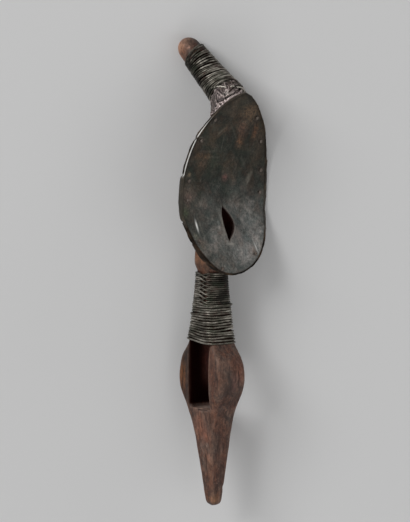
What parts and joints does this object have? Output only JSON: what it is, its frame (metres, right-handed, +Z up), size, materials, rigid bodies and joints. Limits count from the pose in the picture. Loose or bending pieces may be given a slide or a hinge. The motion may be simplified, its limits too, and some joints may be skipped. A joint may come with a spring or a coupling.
{
  "type": "reliquary guardian figure",
  "caption": "Carved wooden guardian figure with a spoon-shaped face clad in sheet metal, wire-wound neck and chignon, and a lozenge base with a window, lying on its back and side.",
  "frame": {"origin": "the middle of the figure's box, on the surface it lies on", "axes": "+Y from the tang's tip towards the chignon, +Z up as the figure lies on its back and left side, +X towards the face's left edge, so the face looks up and to +X"},
  "size_m": [0.0762, 0.3994, 0.0685],
  "materials": {
    "wood": "dark reddish brown, worn and hand-polished",
    "face_metal": "darkened copper sheet, satin, with reddish and greenish patches",
    "collar_metal": "crumpled thin sheet, pinkish grey",
    "wire_metal": "tarnished wire, olive grey",
    "tack_metal": "rusty brown"
  },
  "bodies": {
    "root": {"wood_core": "wood", "face_sheet": "face_metal", "collar_sheet": "collar_metal", "neck_wire": "wire_metal", "chignon_wire": "wire_metal", "tack_1": "tack_metal", "tack_2": "tack_metal", "tack_3": "tack_metal", "tack_4": "tack_metal", "tack_5": "tack_metal", "tack_6": "tack_metal", "tack_7": "tack_metal", "tack_8": "tack_metal", "tack_9": "tack_metal", "tack_10": "tack_metal", "tack_11": "tack_metal"}
  },
  "joints": []
}
